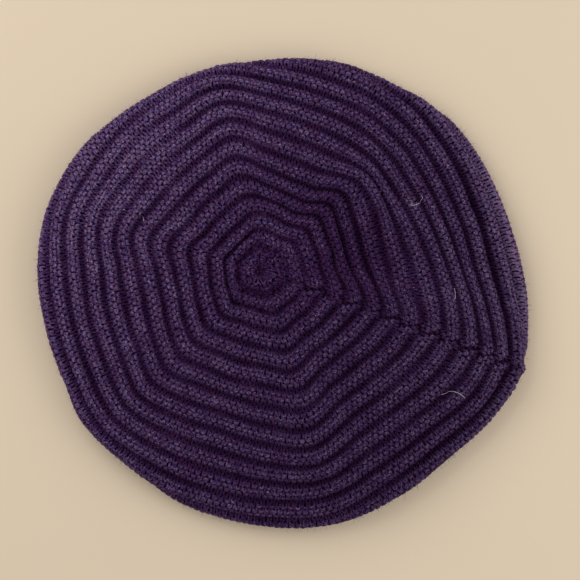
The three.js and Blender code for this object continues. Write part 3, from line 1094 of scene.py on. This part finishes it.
# %% The wool material
def wool(name, brightness=1.0):
    def lit(colour):
        return tuple(brightness * part for part in colour)

    material = bpy.data.materials.new(name)
    material.use_nodes = True
    tree = material.node_tree
    tree.nodes.clear()
    start = Strand(tree)
    where = start.node("ShaderNodeTexCoord", output="Object")
    # The shading attribute brings painted shade and painted light, with some random tone, into the tone.
    nap = start.node("ShaderNodeAttribute", {"attribute_name": "nap"}, output="Fac")
    flecks = noise(start, where, FLECKS_PER_METRE)
    fibres = noise(start, where, FIBRES_PER_METRE)
    patches = noise(start, where, PATCHES_PER_METRE)
    tone = flecks * FLECKS + fibres * FIBRES + patches * PATCHES + nap * TONE_AND_SHADING_SHARE - DARKER_BY
    shades = [(place, lit(shade)) for place, shade in WOOL_SHADES]
    colour = start.node("ShaderNodeValToRGB", {"stops": shades}, {"Fac": tone})
    redness = noise(start, where, RED_FLECKS_PER_METRE) * RED_FLECKS - FEWER_BY
    red_share = start.node("ShaderNodeClamp", inputs={"Value": redness, "Min": 0.0, "Max": MOST_RED})
    colour = blend(start, red_share, colour, (*lit(REDDISH), 1))
    lot = noise(start, where, DYES_PER_METRE)
    dye = start.node("ShaderNodeValToRGB", {"stops": DYE_LOTS}, {"Fac": lot})
    colour = start.node("ShaderNodeVectorMath", {"operation": "MULTIPLY"}, {0: colour, 1: dye})
    # A painted light: the colour is scaled lighter towards the upper left, where the window lamp is, and
    # darker towards the lower right.
    place = start.node("ShaderNodeSeparateXYZ", inputs={"Vector": where})
    place_y = Strand(tree, place.socket.node.outputs["Y"])
    fading = place * PAINTED_LIGHT_PER_METRE[0] + place_y * PAINTED_LIGHT_PER_METRE[1] + 1.0
    colour = start.node("ShaderNodeVectorMath", {"operation": "SCALE"}, {0: colour, "Scale": fading})
    height = fibres + flecks * FLECKS_IN_BUMP
    relief = {"Strength": BUMP_STRENGTH, "Distance": BUMP_HEIGHT, "Height": height}
    bump = start.node("ShaderNodeBump", inputs=relief)
    surface = start.node(
        "ShaderNodeBsdfPrincipled",
        inputs={
            "Base Color": colour,
            "Roughness": WOOL_ROUGHNESS,
            "Specular IOR Level": WOOL_SPECULAR,
            "Sheen Weight": SHEEN,
            "Sheen Roughness": SHEEN_ROUGHNESS,
            "Sheen Tint": SHEEN_TINT,
            "Normal": bump,
        },
    )
    start.node("ShaderNodeOutputMaterial", inputs={"Surface": surface})
    return material


def plain_material(name, colour, roughness):
    material = bpy.data.materials.new(name)
    material.use_nodes = True
    shader = material.node_tree.nodes["Principled BSDF"]
    shader.inputs["Base Color"].default_value = colour
    shader.inputs["Roughness"].default_value = roughness
    return material


# %% Give the pieces their wool
# The skin's wool is a darker copy of the yarn's wool: a painted shade between the loops.
SKIN_PAINTED_SHADE = 0.4
# The hairs' wool is a lighter copy of the yarn's wool: a painted light on the halo.
FUZZ_PAINTED_LIGHT = 1.6
LINT_COLOUR = (0.75, 0.72, 0.8, 1)
LINT_ROUGHNESS = 0.7

yarn_wool = wool("yarn_wool")
painted_shade_skin_wool = wool("painted_shade_skin_wool", brightness=SKIN_PAINTED_SHADE)
painted_light_fuzz_wool = wool("painted_light_fuzz_wool", brightness=FUZZ_PAINTED_LIGHT)
lint_fibre = plain_material("lint_fibre", LINT_COLOUR, LINT_ROUGHNESS)
fuzz.data.materials.append(painted_light_fuzz_wool)
lint.data.materials.append(lint_fibre)
for piece in (crown_cloth, band_cloth):
    piece.data.materials.append(painted_shade_skin_wool)
for piece in (*crown_stitches, band_stitches):
    piece.data.materials.append(yarn_wool)
print("materials:", [material.name for material in (yarn_wool, painted_shade_skin_wool, painted_light_fuzz_wool, lint_fibre)])
print("shader nodes in the yarn's wool:", len(yarn_wool.node_tree.nodes))

# %% [markdown]
# ## Table
#
# The hat lies on a plain pale table. The table is a large plane at height 0, and the frame is told that it
# belongs to the set and not to the hat.

# %% Table
TABLE_WIDTH = 4
TABLE_COLOUR = (0.80, 0.66, 0.49, 1)
TABLE_ROUGHNESS = 0.8

bpy.ops.object.select_all(action="DESELECT")
bpy.ops.mesh.primitive_plane_add(size=TABLE_WIDTH)
table = bpy.context.object
table.name = "table"
table.data.materials.append(plain_material("table_surface", TABLE_COLOUR, TABLE_ROUGHNESS))
table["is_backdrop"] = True
print("table:", TABLE_WIDTH, "m wide")

# %% [markdown]
# ## Light
#
# Soft light from all round comes from the world. A large disk at the upper left is the window, which lights
# one flank of every welt and leaves the other in shade, so that the welts read as round. A second, weaker
# disk on the right keeps that rim from going black.

# %% Light
ROOM_COLOUR = (1, 0.98, 0.96, 1)
ROOM_STRENGTH = 0.5

# Each light's place, what it points at, its width (m) and its power (W).
WINDOW = ((-0.55, 0.48, 0.7), (-0.03, 0.02, 0.0), 1.1, 4.5)
FAR_WINDOW = ((0.85, -0.1, 0.5), (0.1, 0.0, 0.0), 0.9, 3.2)

world = bpy.data.worlds.new("room")
bpy.context.scene.world = world
world.use_nodes = True
world.node_tree.nodes["Background"].inputs["Color"].default_value = ROOM_COLOUR
world.node_tree.nodes["Background"].inputs["Strength"].default_value = ROOM_STRENGTH


def soft_light(name, place, aim, size, power):
    bpy.ops.object.light_add(type="AREA", location=place)
    lamp = bpy.context.object
    lamp.name = name
    lamp.data.shape = "DISK"
    lamp.data.size = size
    lamp.data.energy = power
    way = np.array(aim) - np.array(place)
    flat = math.hypot(way[0], way[1])
    lamp.rotation_euler = (math.atan2(flat, -way[2]), 0, math.atan2(way[1], way[0]) - math.pi / 2)
    return lamp


window = soft_light("window", *WINDOW)
far_window = soft_light("far_window", *FAR_WINDOW)
for lamp in (window, far_window):
    print(lamp.name, "is", round(lamp.data.size, 2), "m wide and gives", round(lamp.data.energy, 1), "W")

# %% [markdown]
# ## Camera
#
# The camera looks straight down from 1.2 m. Its lens is chosen so that the picture is as wide as it should
# be at the height of the rim, because the rim is what the outline shows.

# %% Camera
CAMERA_HEIGHT = 1.2
RIM_LEVEL = 12 * MM
SENSOR_WIDTH = 36

bpy.ops.object.camera_add(location=(*(VIEW_CENTRE * MM), CAMERA_HEIGHT), rotation=(0, 0, 0))
camera = bpy.context.object
camera.data.sensor_width = SENSOR_WIDTH
camera.data.lens = SENSOR_WIDTH * (CAMERA_HEIGHT - RIM_LEVEL) / (PICTURE_WIDTH * MM)
bpy.context.scene.camera = camera
bpy.context.scene.view_settings.view_transform = "Standard"
print("lens:", round(camera.data.lens, 1), "mm")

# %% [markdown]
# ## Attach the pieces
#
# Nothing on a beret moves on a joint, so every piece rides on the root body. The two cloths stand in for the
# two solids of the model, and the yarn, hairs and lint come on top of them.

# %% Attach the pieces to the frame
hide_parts("crown")
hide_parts("headband")
crown_pieces = (crown_cloth, *crown_stitches, fuzz, lint)
band_pieces = (band_cloth, band_stitches)
for piece in crown_pieces:
    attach(piece, "root")
for piece in band_pieces:
    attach(piece, "root")
total = sum(triangle_count(piece) for piece in crown_pieces + band_pieces)
print("pieces:", len(crown_pieces + band_pieces), "with", total, "triangles in all")

# %% [markdown]
# ## Compare the sizes
#
# The box round the finished hat is printed beside the box of the solid model. The yarn and the hairs stand
# a few millimetres out of the solid, and no more.

# %% Compare the sizes
visual_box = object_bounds()
boxes = {"cad": [list(corner) for corner in cad_box], "visual": [list(corner) for corner in visual_box]}
for name, (low, high) in boxes.items():
    print(name, "box, mm:", [round((b - a) / MM, 1) for a, b in zip(low, high)])
